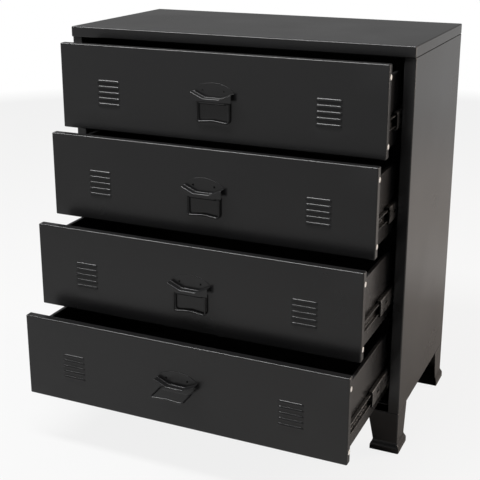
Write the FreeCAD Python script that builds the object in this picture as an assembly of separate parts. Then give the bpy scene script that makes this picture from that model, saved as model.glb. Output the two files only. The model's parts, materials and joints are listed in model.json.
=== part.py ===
"""Chest of four drawers in folded sheet steel, with pressed corner feet and telescopic slides.

Frame: +Z up, +X to the chest's right as seen from the front, -Y out of the front.  The origin is on
the floor, under the middle of the carcass.  All sizes are in millimetres.
"""
import FreeCAD, Part
import math
import os

Vector = FreeCAD.Vector

# ---- Carcass -------------------------------------------------------------------------------------
width = 780.0
depth = 400.0
height = 880.0
sheet = 1.0
bend_radius = 2.5
tight_bend = 0.8
top_skirt = 23.0
top_overhang = 5.0
top_lip = 15.0
stile_width = 24.0
return_depth = 45.0
back_recess = 1.0
back_flange = 12.0
rail_height = 20.0
rail_flange = 18.0

# ---- Feet ----------------------------------------------------------------------------------------
foot_height = 92.0
foot_sheet = 1.5
foot_top_width = 68.0
foot_ankle_width = 54.0
foot_ankle_height = 24.0
foot_rim_height = 9.0
foot_flare = 5.0
sole_thickness = 2.0

# ---- Drawers: how many, how far each stands open, and the pans that face them ------------------------
rest_openings = [90.0, 138.0, 205.0, 270.0]
front_gap = 2.75
stile_gap = 2.5
pan_depth = 18.0
pan_side_lip = 20.0
pan_edge_lip = 12.0

# ---- Drawer boxes --------------------------------------------------------------------------------
box_depth = 355.0
box_drop = 28.0
box_rise = 12.0
box_hem = 8.0
box_flange = 14.0

# ---- Slides: outer, middle and inner members, and the ball cages between them ------------------------
slide_length = 350.0
slide_setback = 3.0
slide_thickness = 12.7
slide_drop = 120.0
rail_steel = 1.2
rail_bend = 1.08
outer_rail_half = 22.5
outer_rail_reach = 9.5
middle_rail_half = 18.0
middle_rail_offset = 2.0
middle_rail_reach = 10.0
inner_rail_half = 12.0
inner_rail_offset = 5.0
cage_gap = 0.3
cage_length = 90.0
cage_inset = 10.0
cage_outer_span = (4.0, 7.5)
cage_inner_span = (5.5, 9.0)

# ---- Louvres -------------------------------------------------------------------------------------
louvre_count = 5
louvre_centre = 247.0
louvre_length = 54.0
louvre_pitch = 12.4
louvre_first_drop = 73.0
louvre_height = 5.0
louvre_reach = 2.6
louvre_mouth = 3.2
louvre_wall = 0.8
louvre_lip = 0.6
louvre_lip_cut = 0.2

# ---- Handle: arched plate, three-sided ledge, skirt and knuckle --------------------------------------
handle_drop = 79.0
handle_half = 45.0
handle_end_height = 4.0
handle_arch_rise = 19.0
ledge_half = 18.0
ledge_drop = 12.0
ledge_reach = 15.0
ledge_sheet = 1.1
skirt_drop = 18.0
knuckle_half = 29.0
knuckle_forward = 5.5
knuckle_wall = 1.2

# ---- Bail ----------------------------------------------------------------------------------------
wire_radius = 2.0
wire_clearance = 0.05
bail_half = 35.5
bail_length = 42.0
bail_crown = 4.0
bail_pin_end = 20.0
bail_shoulder_radius = 3.5
bail_corner_radius = 6.0
bail_crown_radius = 25.0
bail_edge_clearance = 0.5
bail_rest_angles = [0.0, 0.0, 0.0, 88.0]

# ---- Small fittings ------------------------------------------------------------------------------
cap_radius = 5.5
cap_height = 1.2
cap_stem_radius = 2.5
cap_stem_length = 4.0
cap_inset = 25.0
cap_rounding = 0.84
rivet_radius = 2.0
rivet_head_radius = 4.0
rivet_head_height = 1.5
hole_clearance = 0.1
overrun = 1.0
handle_rivet_half = 24.0
handle_rivet_rise = 2.0
slide_screw_inset = 12.0
corner_screw_inset = 11.0
back_screw_inset = 6.0
top_screw_ys = [-150.0, 0.0, 150.0]
back_screw_count = 4
pan_screw_inset = 5.0
pan_screw_margin = 25.0

# ---- Derived levels and planes -------------------------------------------------------------------
half_width = width / 2.0
front_y = -depth / 2.0
back_y = depth / 2.0
skirt_z = height - top_skirt
stile_x = half_width - stile_width
rail_top_z = foot_height + rail_height
drawer_count = len(rest_openings)
drawer_pitch = (skirt_z - rail_top_z) / drawer_count
pan_height = drawer_pitch - front_gap
pan_half = stile_x - stile_gap
box_half = stile_x - slide_thickness
box_start = front_y + pan_depth
slide_start = front_y + pan_depth + slide_setback
knuckle_bore = wire_radius + wire_clearance
knuckle_radius = knuckle_bore + knuckle_wall
knuckle_z = -skirt_drop - wire_radius - bail_edge_clearance


def block(x0, x1, y0, y1, z0, z1):
    """A box given by its two limits along each axis."""
    corner = Vector(min(x0, x1), min(y0, y1), min(z0, z1))
    return Part.makeBox(abs(x1 - x0), abs(y1 - y0), abs(z1 - z0), corner)


def join(shapes):
    """Fuse shapes into one and merge the faces that lie in one plane."""
    fused = shapes[0].multiFuse(shapes[1:])
    return fused.removeSplitter()


def prism(points, direction):
    """A flat outline of (x, y, z) points carried along a direction."""
    corners = [Vector(*point) for point in points]
    wire = Part.makePolygon(corners + [corners[0]])
    return Part.Face(wire).extrude(direction)


def rod(x, y, z, radius, length, axis):
    """A round bar from a point along an axis."""
    return Part.makeCylinder(radius, length, Vector(x, y, z), axis)


def mirror_x(shape):
    """The same shape on the chest's other side."""
    return shape.mirror(Vector(0, 0, 0), Vector(1, 0, 0))


def mirror_y(shape):
    """The same shape at the chest's other face."""
    return shape.mirror(Vector(0, 0, 0), Vector(0, 1, 0))


def round_edges(shape, radius, wanted):
    """Fillet the edges whose centre and direction pass a test."""
    edges = []
    for edge in shape.Edges:
        line = edge.Vertexes[-1].Point - edge.Vertexes[0].Point
        if line.Length > radius and wanted(edge.CenterOfMass, line.normalize()):
            edges.append(edge)
    return shape.makeFillet(radius, edges)


def near(first, second):
    """Whether two lengths are the same to a thousandth."""
    return abs(first - second) < 0.001


def fixing(x, y, z, axis, grip):
    """A low round head at a point, with its shank running back through the sheets it holds."""
    head = rod(x, y, z, rivet_head_radius, rivet_head_height, axis)
    shank = rod(x, y, z, rivet_radius, grip, axis * -1)
    return join([head, shank])


def fixing_hole(x, y, z, axis, grip):
    """The clearance hole for a fixing's shank, run a little past both faces."""
    start = Vector(x, y, z) + axis * overrun / 2.0
    return rod(start.x, start.y, start.z, rivet_radius + hole_clearance, grip + overrun, axis * -1)


def top_screw_places():
    """Where the screws rise through a side panel's top into the top's lip."""
    return [(half_width - top_lip / 2.0, y) for y in top_screw_ys]


def foot_screw_places():
    """Where the screws rise through one foot's flange into the side panel's floor."""
    x = half_width - corner_screw_inset
    first_y = front_y + 2.0 * corner_screw_inset
    second_y = front_y + foot_top_width - corner_screw_inset
    return [(x, first_y), (x, second_y)]


def outer_rail_screw_ys():
    """The two places along a slide where its outer member is screwed to the carcass."""
    return [slide_start + slide_screw_inset, slide_start + slide_length - slide_screw_inset]


def back_screw_zs():
    """The heights of the screws down one edge of the back."""
    low = foot_height + rail_height
    step = (skirt_z - rail_height - low) / (back_screw_count - 1)
    return [low + step * index for index in range(back_screw_count)]


def pan_top(index):
    """The height of a drawer front's top edge."""
    return skirt_z - front_gap / 2.0 - index * drawer_pitch


def slide_z(index):
    """The height of the middle of a drawer's slides."""
    return pan_top(index) - slide_drop


# ---- Carcass -------------------------------------------------------------------------------------
def make_top_panel():
    """A shallow inverted tray whose skirt is turned in below, to lie on the side panels."""
    y0 = front_y - top_overhang
    outer = block(-half_width, half_width, y0, back_y, skirt_z, height)

    def outside(centre, line):
        on_top = near(centre.z, height)
        upright = abs(line.z) > 0.9
        return on_top or upright

    outer = round_edges(outer, bend_radius, outside)
    inner = block(
        -half_width + sheet, half_width - sheet, y0 + sheet, back_y - sheet, skirt_z + sheet, height - sheet
    )
    mouth = block(
        -half_width + top_lip, half_width - top_lip, y0 + top_lip, back_y - top_lip,
        skirt_z - overrun, skirt_z + sheet + overrun
    )
    panel = outer.cut(inner).cut(mouth)
    for x, y in top_screw_places():
        hole = fixing_hole(x, y, skirt_z, Vector(0, 0, -1), sheet)
        panel = panel.cut(hole).cut(mirror_x(hole))
    return panel


def make_side_panel():
    """The right side: a wall folded round into a front stile and a rear stile, closed top and bottom."""
    outer = block(stile_x, half_width, front_y, back_y, foot_height, skirt_z)

    def outside(centre, line):
        upright = abs(line.z) > 0.9
        return upright

    outer = round_edges(outer, bend_radius, outside)
    inner = block(
        stile_x + sheet, half_width - sheet, front_y + sheet, back_y - sheet,
        foot_height + sheet, skirt_z - sheet
    )
    mouth = block(
        stile_x - overrun, stile_x + sheet + overrun, front_y + return_depth, back_y - return_depth,
        foot_height + sheet, skirt_z - sheet
    )
    panel = outer.cut(inner).cut(mouth)
    for x, y in top_screw_places():
        panel = panel.cut(fixing_hole(x, y, skirt_z - sheet, Vector(0, 0, -1), sheet))
    for x, y in foot_screw_places():
        hole = fixing_hole(x, y, foot_height, Vector(0, 0, -1), sheet)
        panel = panel.cut(hole).cut(mirror_y(hole))
    for index in range(drawer_count):
        for y in outer_rail_screw_ys():
            panel = panel.cut(fixing_hole(stile_x, y, slide_z(index), Vector(-1, 0, 0), sheet))
    back_screw_y = back_y - back_recess - back_screw_inset
    for z in back_screw_zs():
        panel = panel.cut(fixing_hole(stile_x, back_screw_y, z, Vector(-1, 0, 0), sheet))
    return panel


def make_back_panel():
    """A flat sheet between the rear stiles, its four edges folded forward."""
    y1 = back_y - back_recess
    y0 = y1 - back_flange
    outer = block(-stile_x, stile_x, y0, y1, foot_height, skirt_z)
    inner = block(
        -stile_x + sheet, stile_x - sheet, y0 - overrun, y1 - sheet, foot_height + sheet, skirt_z - sheet
    )
    panel = outer.cut(inner)
    for z in back_screw_zs():
        hole = fixing_hole(stile_x - sheet, y1 - back_screw_inset, z, Vector(-1, 0, 0), sheet)
        panel = panel.cut(hole).cut(mirror_x(hole))
    return panel


def make_bottom_panel():
    """The carcass floor: a sheet between the stiles, its two long edges turned up."""
    y0 = front_y + sheet
    y1 = back_y - back_recess - back_flange
    floor = block(-stile_x, stile_x, y0, y1, foot_height, foot_height + sheet)
    front_fold = block(-stile_x, stile_x, y0, y0 + sheet, foot_height, rail_top_z - sheet)
    back_fold = block(-stile_x, stile_x, y1 - sheet, y1, foot_height, foot_height + rail_flange)
    return join([floor, front_fold, back_fold])


def make_front_rail():
    """The rail under the lowest drawer: a face, and a ledge over the floor's front fold."""
    face = block(-stile_x, stile_x, front_y, front_y + sheet, foot_height, rail_top_z)
    ledge = block(-stile_x, stile_x, front_y, front_y + rail_flange, rail_top_z - sheet, rail_top_z)
    rail = join([face, ledge])

    def outside(centre, line):
        return near(centre.y, front_y) and near(centre.z, rail_top_z)

    return round_edges(rail, tight_bend, outside)


# ---- Feet ----------------------------------------------------------------------------------------
def foot_section(outset, reach, z):
    """A square outline at one height: its outer corner stands out by outset, its sides run to reach."""
    x1 = half_width + outset
    y0 = front_y - outset
    x0 = half_width - reach
    y1 = front_y + reach
    points = [Vector(x0, y0, z), Vector(x1, y0, z), Vector(x1, y1, z), Vector(x0, y1, z)]
    return Part.makePolygon(points + [points[0]])


def loft(first, second):
    """The straight-sided solid between two outlines."""
    return Part.makeLoft([first, second], True, True)


def make_foot():
    """The front right foot: two tapering walls, a flared shoe with a sole, and a flange to screw up."""
    rim_reach = foot_ankle_width + foot_flare
    top = foot_section(0, foot_top_width, foot_height)
    ankle = foot_section(0, foot_ankle_width, foot_ankle_height)
    rim = foot_section(foot_flare, rim_reach, foot_rim_height)
    floor = foot_section(foot_flare, rim_reach, 0)
    outer = join([loft(top, ankle), loft(ankle, rim), loft(rim, floor)])
    room = foot_top_width * 2.0
    leg_room = block(
        half_width - foot_sheet - room, half_width - foot_sheet,
        front_y + foot_sheet, front_y + foot_sheet + room,
        foot_ankle_height, foot_height - foot_sheet
    )
    shoe_top = foot_section(-foot_sheet, room, foot_ankle_height)
    shoe_rim = foot_section(foot_flare - foot_sheet, room, foot_rim_height)
    shoe_low = foot_section(foot_flare - foot_sheet, room, sole_thickness)
    shoe_room = loft(shoe_top, shoe_rim).fuse(loft(shoe_rim, shoe_low))
    foot = outer.cut(leg_room).cut(shoe_room)

    def corner(centre, line):
        outer_corner = near(centre.x, half_width) and near(centre.y, front_y)
        return outer_corner and abs(line.z) > 0.9

    foot = round_edges(foot, foot_sheet, corner)
    for x, y in foot_screw_places():
        foot = foot.cut(fixing_hole(x, y, foot_height - foot_sheet, Vector(0, 0, -1), foot_sheet))
    return foot


# ---- Slides --------------------------------------------------------------------------------------
def channel(near_face, far_face, half, web_at_stile, y0, z):
    """One right-hand slide member: a web, and two flanges; faces are distances in from the stile."""
    x_near = stile_x - near_face
    x_far = stile_x - far_face
    outer = block(x_far, x_near, y0, y0 + slide_length, z - half, z + half)
    if web_at_stile:
        room_x = (x_near - rail_steel, x_far - overrun)
    else:
        room_x = (x_near + overrun, x_far + rail_steel)
    room = block(
        room_x[0], room_x[1], y0 - overrun, y0 + slide_length + overrun,
        z - half + rail_steel, z + half - rail_steel
    )
    member = outer.cut(room)

    def bend(centre, line):
        at_web = x_near if web_at_stile else x_far
        return near(centre.x, at_web) and abs(line.y) > 0.9

    return round_edges(member, rail_bend, bend)


def make_outer_rails(index):
    """The pair of carcass members, screwed to the stiles' returns."""
    rail = channel(0.0, outer_rail_reach, outer_rail_half, True, slide_start, slide_z(index))
    for y in outer_rail_screw_ys():
        rail = rail.cut(fixing_hole(stile_x - rail_steel, y, slide_z(index), Vector(-1, 0, 0), rail_steel))
    return Part.makeCompound([rail, mirror_x(rail)])


def make_middle_rails(index):
    """The pair of members that run half as far as the drawer."""
    y0 = slide_start - rest_openings[index] / 2.0
    rail = channel(middle_rail_offset, middle_rail_reach, middle_rail_half, True, y0, slide_z(index))
    return Part.makeCompound([rail, mirror_x(rail)])


def make_inner_rails(index):
    """The pair of members riveted to the drawer's sides."""
    y0 = slide_start - rest_openings[index]
    rail = channel(inner_rail_offset, slide_thickness, inner_rail_half, False, y0, slide_z(index))
    for y in (y0 + slide_screw_inset, y0 + slide_length - slide_screw_inset):
        rail = rail.cut(fixing_hole(box_half + rail_steel, y, slide_z(index), Vector(1, 0, 0), rail_steel))
    return Part.makeCompound([rail, mirror_x(rail)])


def make_ball_cages(index):
    """The ball strips above and below each middle member, carried by it inside both its neighbours."""
    z = slide_z(index)
    y0 = slide_start - rest_openings[index] / 2.0
    rear = y0 + slide_length - cage_inset
    front = y0 + cage_inset
    high = outer_rail_half - rail_steel - cage_gap
    low = inner_rail_half + cage_gap
    strips = []
    for side in (-1, 1):
        outer_strip = block(
            stile_x - cage_outer_span[0], stile_x - cage_outer_span[1], rear - cage_length, rear,
            z + side * middle_rail_half, z + side * high
        )
        inner_strip = block(
            stile_x - cage_inner_span[0], stile_x - cage_inner_span[1], front, front + cage_length,
            z + side * low, z + side * (middle_rail_half - rail_steel)
        )
        strips += [outer_strip, inner_strip]
    return Part.makeCompound(strips + [mirror_x(strip) for strip in strips])


# ---- Drawer front --------------------------------------------------------------------------------
def louvre_places(index):
    """The middle and the top height of every louvre in one drawer front."""
    top = pan_top(index) - louvre_first_drop
    rows = [top - louvre_pitch * row for row in range(louvre_count)]
    return [(side * louvre_centre, z) for side in (-1, 1) for z in rows]


def louvre_wedge(x, y, z, length, tall, reach):
    """A hood that leans out of the face from its top, closed at its ends, to a lip at its foot."""
    half = length / 2.0
    outline = [
        (x - half, y, z), (x - half, y - reach, z - tall + louvre_lip),
        (x - half, y - reach, z - tall), (x - half, y, z - tall),
    ]
    return prism(outline, Vector(length, 0, 0))


def add_louvres(pan, index, face_y):
    """Press the louvres out of the face and open their mouths, which look down."""
    hoods = []
    rooms = []
    slots = []
    inner_length = louvre_length - 2.0 * louvre_wall
    for x, z in louvre_places(index):
        hoods.append(louvre_wedge(x, face_y, z, louvre_length, louvre_height, louvre_reach))
        rooms.append(louvre_wedge(
            x, face_y + louvre_wall, z - louvre_wall, inner_length, louvre_height + louvre_lip_cut,
            louvre_reach
        ))
        slots.append(block(
            x - inner_length / 2.0, x + inner_length / 2.0, face_y, face_y + 2.0 * sheet,
            z - louvre_wall - louvre_mouth, z - louvre_height + 2.0 * louvre_lip_cut
        ))
    pan = pan.multiFuse(hoods)
    return pan.cut(Part.makeCompound(rooms)).cut(Part.makeCompound(slots))


def cap_places(index):
    """The heights of the two caps in each side of a drawer front."""
    return [pan_top(index) - cap_inset, pan_top(index) - pan_height + cap_inset]


def pan_screw_places(index):
    """Where the box's front flange is screwed to the pan's side lip, right side."""
    top = pan_top(index) - box_drop - pan_screw_margin
    low = pan_top(index) - pan_height + box_rise + pan_screw_margin
    return [(box_half - pan_screw_inset, z) for z in (top, low)]


def handle_rivet_places(index):
    """Where the handle's two rivets pass through the front."""
    z = pan_top(index) - handle_drop + handle_rivet_rise
    return [(-handle_rivet_half, z), (handle_rivet_half, z)]


def make_drawer_front(index):
    """A pan folded from one sheet, with louvres, and lips turned in round its open back."""
    face_y = front_y - rest_openings[index]
    top = pan_top(index)
    low = top - pan_height
    outer = block(-pan_half, pan_half, face_y, face_y + pan_depth, low, top)

    def outside(centre, line):
        return near(centre.y, face_y) or abs(line.y) > 0.9

    outer = round_edges(outer, bend_radius, outside)
    inner = block(
        -pan_half + sheet, pan_half - sheet, face_y + sheet, face_y + pan_depth - sheet,
        low + sheet, top - sheet
    )
    mouth = block(
        -pan_half + pan_side_lip, pan_half - pan_side_lip,
        face_y + pan_depth - sheet - overrun, face_y + pan_depth + overrun,
        low + pan_edge_lip, top - pan_edge_lip
    )
    pan = outer.cut(inner).cut(mouth)
    pan = add_louvres(pan, index, face_y)
    for x, z in handle_rivet_places(index):
        pan = pan.cut(fixing_hole(x, face_y + sheet, z, Vector(0, 1, 0), sheet))
    for x, z in pan_screw_places(index):
        hole = fixing_hole(x, face_y + pan_depth, z, Vector(0, 1, 0), sheet)
        pan = pan.cut(hole).cut(mirror_x(hole))
    for z in cap_places(index):
        hole = rod(
            pan_half - sheet - overrun, face_y + pan_depth / 2.0, z, cap_stem_radius + hole_clearance,
            sheet + 2.0 * overrun, Vector(1, 0, 0)
        )
        pan = pan.cut(hole).cut(mirror_x(hole))
    return pan


def make_edge_caps(index):
    """Four low round caps snapped into the sides of the front, which keep it off the stiles."""
    y = front_y - rest_openings[index] + pan_depth / 2.0
    caps = []
    for z in cap_places(index):
        disc = rod(pan_half, y, z, cap_radius, cap_height, Vector(1, 0, 0))
        rim = [edge for edge in disc.Edges if near(edge.CenterOfMass.x, pan_half + cap_height)]
        disc = disc.makeFillet(cap_rounding, rim[:1])
        stem = rod(pan_half, y, z, cap_stem_radius, cap_stem_length, Vector(-1, 0, 0))
        cap = join([disc, stem])
        caps += [cap, mirror_x(cap)]
    return Part.makeCompound(caps)


# ---- Handle and bail -----------------------------------------------------------------------------
def handle_line(index):
    """The face plane and the height of the handle's two ends."""
    return front_y - rest_openings[index], pan_top(index) - handle_drop


def make_handle_plate(index):
    """An arched plate on the face, a ledge along its lower edge, a skirt below it and a rolled knuckle."""
    y, z = handle_line(index)
    left = Vector(-handle_half, y - sheet, z + handle_end_height)
    crown = Vector(0, y - sheet, z + handle_arch_rise)
    right = Vector(handle_half, y - sheet, z + handle_end_height)
    low = [
        Vector(handle_half, y - sheet, z), Vector(ledge_half, y - sheet, z - ledge_drop),
        Vector(-ledge_half, y - sheet, z - ledge_drop), Vector(-handle_half, y - sheet, z),
    ]
    outline = [Part.Arc(left, crown, right).toShape()]
    corners = [right] + low + [left]
    for start, end in zip(corners, corners[1:]):
        outline.append(Part.makeLine(start, end))
    plate = Part.Face(Part.Wire(outline)).extrude(Vector(0, sheet, 0))
    ledge_line = [
        (handle_half, z), (ledge_half, z - ledge_drop), (-ledge_half, z - ledge_drop), (-handle_half, z),
    ]
    under_line = [(x, level - ledge_sheet) for x, level in reversed(ledge_line)]
    front_plane = y - ledge_reach
    ledge = prism([(x, front_plane, level) for x, level in ledge_line + under_line], Vector(0, ledge_reach, 0))
    skirt_line = ledge_line + [(-handle_half, z - skirt_drop), (handle_half, z - skirt_drop)]
    skirt = prism([(x, front_plane, level) for x, level in skirt_line], Vector(0, sheet, 0))
    knuckle_y = y - knuckle_forward
    level = z + knuckle_z
    roll = rod(-knuckle_half, knuckle_y, level, knuckle_radius, 2.0 * knuckle_half, Vector(1, 0, 0))
    tongue = block(-knuckle_half, knuckle_half, y - sheet, y, level - knuckle_radius, z - ledge_drop)
    web = block(-knuckle_half, knuckle_half, knuckle_y, y, level - knuckle_radius, level - knuckle_bore)
    handle = join([plate, ledge, skirt, roll, tongue, web])
    bore_length = 2.0 * (knuckle_half + overrun)
    bore = rod(-knuckle_half - overrun, knuckle_y, level, knuckle_bore, bore_length, Vector(1, 0, 0))
    handle = handle.cut(bore)
    for x, rivet_z in handle_rivet_places(index):
        handle = handle.cut(fixing_hole(x, y, rivet_z, Vector(0, 1, 0), sheet))
    return handle


def rounded_path(points, radii):
    """A flat run of straight lines whose inner corners are turned with tangent arcs."""
    edges = []
    start = points[0]
    for before, corner, after, radius in zip(points, points[1:], points[2:], radii):
        inward = (before - corner).normalize()
        outward = (after - corner).normalize()
        half_angle = inward.getAngle(outward) / 2.0
        setback = radius / math.tan(half_angle)
        first = corner + inward * setback
        last = corner + outward * setback
        middle = corner + (inward + outward).normalize() * (radius / math.sin(half_angle) - radius)
        edges.append(Part.makeLine(start, first))
        edges.append(Part.Arc(first, middle, last).toShape())
        start = last
    edges.append(Part.makeLine(start, points[-1]))
    return Part.Wire(edges)


def make_bail(index):
    """A wire loop, its two ends turned in to lie in the knuckle and its grip bent to a low peak."""
    y, z = handle_line(index)
    pivot = Vector(0, y - knuckle_forward, z + knuckle_z)
    points = [
        Vector(-bail_pin_end, 0, 0), Vector(-bail_half, 0, 0), Vector(-bail_half, 0, -bail_length),
        Vector(0, 0, bail_crown - bail_length), Vector(bail_half, 0, -bail_length), Vector(bail_half, 0, 0),
        Vector(bail_pin_end, 0, 0),
    ]
    radii = [
        bail_shoulder_radius, bail_corner_radius, bail_crown_radius, bail_corner_radius, bail_shoulder_radius
    ]
    path = rounded_path(points, radii)
    ring = Part.Wire(Part.makeCircle(wire_radius, points[0], Vector(-1, 0, 0)))
    bail = path.makePipeShell([ring], True, False)
    bail.rotate(Vector(0, 0, 0), Vector(-1, 0, 0), bail_rest_angles[index])
    bail.translate(pivot)
    return bail


# ---- Drawer box ----------------------------------------------------------------------------------
def box_levels(index):
    """The lowest and highest levels of a drawer's box."""
    return pan_top(index) - pan_height + box_rise, pan_top(index) - box_drop


def box_planes(index):
    """The front and back planes of a drawer's box, where it stands at rest."""
    y0 = box_start - rest_openings[index]
    return y0, y0 + box_depth


def make_box_side(index):
    """The right side of the box: a wall with its top hemmed in, a floor flange and a front flange."""
    low, top = box_levels(index)
    y0, y1 = box_planes(index)
    wall = block(box_half - sheet, box_half, y0, y1, low, top)
    hem = block(box_half - box_hem, box_half, y0, y1, top - sheet, top)
    floor = block(box_half - box_flange, box_half, y0, y1, low, low + sheet)
    front = block(box_half - box_flange, box_half, y0, y0 + sheet, low, top)
    side = join([wall, hem, floor, front])

    def top_fold(centre, line):
        return near(centre.x, box_half) and near(centre.z, top)

    side = round_edges(side, tight_bend, top_fold)
    for x, z in pan_screw_places(index):
        side = side.cut(fixing_hole(x, y0 + sheet, z, Vector(0, 1, 0), sheet))
    rail_y = slide_start - rest_openings[index]
    for y in (rail_y + slide_screw_inset, rail_y + slide_length - slide_screw_inset):
        side = side.cut(fixing_hole(box_half, y, slide_z(index), Vector(1, 0, 0), sheet))
    return side


def make_box_sides(index):
    """Both sides of the box."""
    side = make_box_side(index)
    return Part.makeCompound([side, mirror_x(side)])


def make_box_back(index):
    """The box's back: a sheet between the sides, hemmed at its top, on the floor's edge."""
    low, top = box_levels(index)
    y1 = box_planes(index)[1]
    inner = box_half - sheet
    wall = block(-inner, inner, y1 - sheet, y1, low + 2.0 * sheet, top - sheet)
    hem = block(-inner + box_hem, inner - box_hem, y1 - box_hem, y1, top - sheet, top)
    return join([wall, hem])


def make_box_bottom(index):
    """The box's floor, laid on the sides' flanges."""
    low = box_levels(index)[0]
    y0, y1 = box_planes(index)
    inner = box_half - sheet
    return block(-inner, inner, y0 + sheet, y1, low + sheet, low + 2.0 * sheet)


def make_drawer_fixings(index):
    """The handle's rivets, the screws between pan and box, and the rivets of the inner slides."""
    face_y = front_y - rest_openings[index]
    flange_y = box_planes(index)[0] + sheet
    rail_y = slide_start - rest_openings[index]
    parts = []
    for x, z in handle_rivet_places(index):
        parts.append(fixing(x, face_y + sheet, z, Vector(0, 1, 0), 2.0 * sheet))
    for x, z in pan_screw_places(index):
        screw = fixing(x, flange_y, z, Vector(0, 1, 0), 2.0 * sheet)
        parts += [screw, mirror_x(screw)]
    for y in (rail_y + slide_screw_inset, rail_y + slide_length - slide_screw_inset):
        rivet = fixing(box_half + rail_steel, y, slide_z(index), Vector(1, 0, 0), rail_steel + sheet)
        parts += [rivet, mirror_x(rivet)]
    return Part.makeCompound(parts)


def make_carcass_screws():
    """Every screw that holds the carcass: to the top, the feet, the slides and the back."""
    screws = []
    down = Vector(0, 0, -1)
    for x, y in top_screw_places():
        screws.append(fixing(x, y, skirt_z - sheet, down, 2.0 * sheet))
    for x, y in foot_screw_places():
        screw = fixing(x, y, foot_height - foot_sheet, down, foot_sheet + sheet)
        screws += [screw, mirror_y(screw)]
    for index in range(drawer_count):
        for y in outer_rail_screw_ys():
            grip = rail_steel + sheet
            screws.append(rod(stile_x - rail_steel, y, slide_z(index), rivet_radius, grip, Vector(1, 0, 0)))
    for z in back_screw_zs():
        y = back_y - back_recess - back_screw_inset
        screws.append(fixing(stile_x - sheet, y, z, Vector(-1, 0, 0), 2.0 * sheet))
    return Part.makeCompound(screws + [mirror_x(screw) for screw in screws])


def save(name, shape):
    """Write one piece."""
    if not shape.isValid():
        print("not valid:", name)
    shape.exportStep("parts/" + name + ".step")


os.makedirs("parts", exist_ok=True)
save("top_panel", make_top_panel())
side_panel = make_side_panel()
save("side_panel_right", side_panel)
save("side_panel_left", mirror_x(side_panel))
save("back_panel", make_back_panel())
save("bottom_panel", make_bottom_panel())
save("front_rail", make_front_rail())
foot = make_foot()
save("foot_front_right", foot)
save("foot_front_left", mirror_x(foot))
save("foot_rear_right", mirror_y(foot))
save("foot_rear_left", mirror_x(mirror_y(foot)))
save("carcass_screws", make_carcass_screws())
for number in range(drawer_count):
    name = "_" + str(number + 1)
    save("outer_rails" + name, make_outer_rails(number))
    save("middle_rails" + name, make_middle_rails(number))
    save("inner_rails" + name, make_inner_rails(number))
    save("ball_cages" + name, make_ball_cages(number))
    save("drawer_front" + name, make_drawer_front(number))
    save("edge_caps" + name, make_edge_caps(number))
    save("handle_plate" + name, make_handle_plate(number))
    save("bail" + name, make_bail(number))
    save("box_sides" + name, make_box_sides(number))
    save("box_back" + name, make_box_back(number))
    save("box_bottom" + name, make_box_bottom(number))
    save("drawer_fixings" + name, make_drawer_fixings(number))
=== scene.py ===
import json
import math

import bmesh
import bpy
import numpy as np
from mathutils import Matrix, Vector


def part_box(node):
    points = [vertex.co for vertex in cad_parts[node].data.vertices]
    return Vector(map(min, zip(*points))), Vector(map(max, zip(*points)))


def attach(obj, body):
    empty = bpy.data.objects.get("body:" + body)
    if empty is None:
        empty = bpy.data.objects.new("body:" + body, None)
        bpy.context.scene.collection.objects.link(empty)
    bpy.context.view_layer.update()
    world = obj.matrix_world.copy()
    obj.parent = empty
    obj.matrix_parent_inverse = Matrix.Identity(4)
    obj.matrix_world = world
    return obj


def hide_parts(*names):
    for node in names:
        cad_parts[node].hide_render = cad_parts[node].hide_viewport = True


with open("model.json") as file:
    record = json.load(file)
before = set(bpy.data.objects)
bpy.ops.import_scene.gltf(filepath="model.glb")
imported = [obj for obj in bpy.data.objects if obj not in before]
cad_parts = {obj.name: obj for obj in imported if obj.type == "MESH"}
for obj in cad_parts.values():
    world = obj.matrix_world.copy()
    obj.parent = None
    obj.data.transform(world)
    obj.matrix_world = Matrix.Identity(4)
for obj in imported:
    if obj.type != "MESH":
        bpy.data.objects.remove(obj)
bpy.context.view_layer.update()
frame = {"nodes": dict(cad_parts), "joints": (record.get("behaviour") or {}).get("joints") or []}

# ---- Side panels ---------------------------------------------------------------------------------
# Each side is one sheet of 1 mm steel folded round into a front and a rear stile, and turned in again
# behind them.  Flat ends close it above and below, where the top and the feet are screwed on.  It is
# powder coated a satin black, like all the sheet metal of the chest.
sheet = 0.001
side_bend = 0.0025
side_return = 0.045
end_tuck = 0.0012
merge_distance = 1e-6
sharp_edge = math.radians(50)


def rounded_line(corners, radii, steps=6):
    """A run of straight lines whose inner corners are turned by tangent arcs.

    Each arc starts at radius * tan(half the turn) before its corner.  Its points are the arc's centre
    plus the first radius turned evenly into the last one.
    """
    corners = np.asarray(corners, float)
    runs = [corners[:1]]
    for before, corner, after, radius in zip(corners, corners[1:], corners[2:], radii):
        to_before = (before - corner) / np.linalg.norm(before - corner)
        to_after = (after - corner) / np.linalg.norm(after - corner)
        turn = math.pi - math.acos(np.clip(to_before @ to_after, -1, 1))
        inward = (to_before + to_after) / np.linalg.norm(to_before + to_after)
        centre = corner + inward * radius / math.cos(turn / 2)
        first = corner + to_before * radius * math.tan(turn / 2) - centre
        last = corner + to_after * radius * math.tan(turn / 2) - centre
        share = np.linspace(0, 1, steps + 1)[:, None]
        swing = (np.sin((1 - share) * turn) * first + np.sin(share * turn) * last) / math.sin(turn)
        runs.append(centre + swing)
    runs.append(corners[-1:])
    return np.vstack(runs)


def carried(profile, axis, stations):
    """A flat profile carried along an axis: point (i, j) is profile point j at station i."""
    across = [way for way in range(3) if way != axis]
    grid = np.empty((len(stations), len(profile), 3))
    grid[:, :, across] = profile
    grid[:, :, axis] = np.asarray(stations)[:, None]
    return grid


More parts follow.
